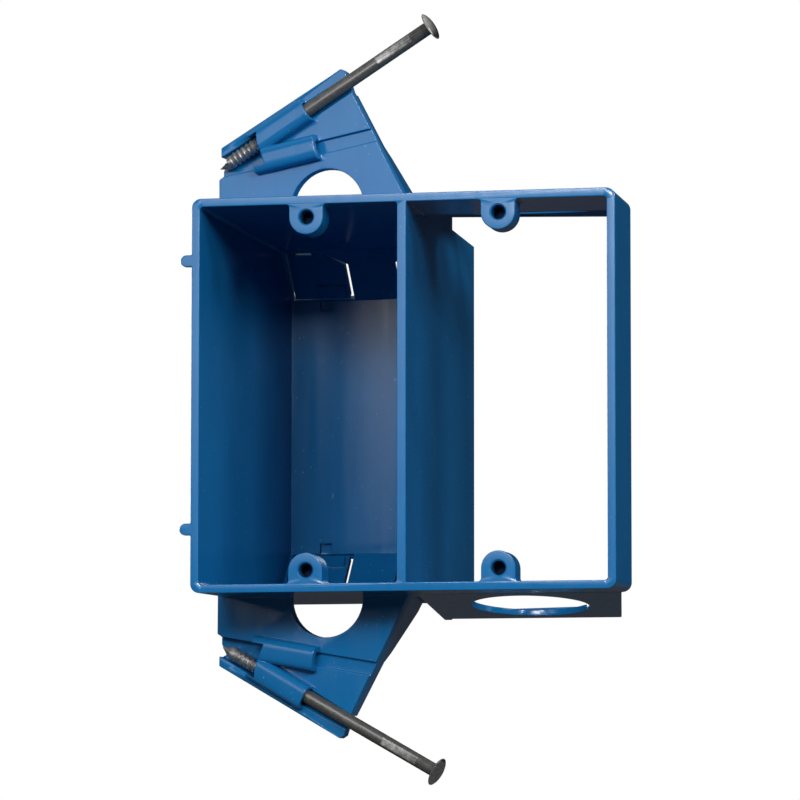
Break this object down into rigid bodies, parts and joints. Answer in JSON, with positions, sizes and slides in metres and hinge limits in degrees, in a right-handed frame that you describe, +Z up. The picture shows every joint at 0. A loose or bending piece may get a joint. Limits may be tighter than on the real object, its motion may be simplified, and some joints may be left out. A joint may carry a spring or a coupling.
{
  "type": "switch box",
  "caption": "Blue moulded dual-voltage switch box: a deep closed compartment beside an open frame, with nailing ears, conduit shelves and captive nails.",
  "frame": {"origin": "centre of the four device screw holes, on the plane of the front rim", "axes": "+X across the gangs, away from the stud; +Y into the wall; +Z up"},
  "size_m": [0.1043, 0.09, 0.1841],
  "materials": {
    "body": "blue moulded thermoplastic, low gloss",
    "nail": "dark bright-rolled steel with a scuffed stretch"
  },
  "bodies": {
    "box": {"box_body": "body"},
    "top_nail": {"top_nail": "nail"},
    "bottom_nail": {"bottom_nail": "nail"}
  },
  "joints": [
    {"name": "top_nail_drive", "type": "slide", "parent": "box", "child": "top_nail", "axis": [-0.8526, 0.1791, -0.4909], "range_m": [0, 0.024]},
    {"name": "bottom_nail_drive", "type": "slide", "parent": "box", "child": "bottom_nail", "axis": [-0.8613, 0.1809, 0.4749], "range_m": [0, 0.0257]}
  ]
}
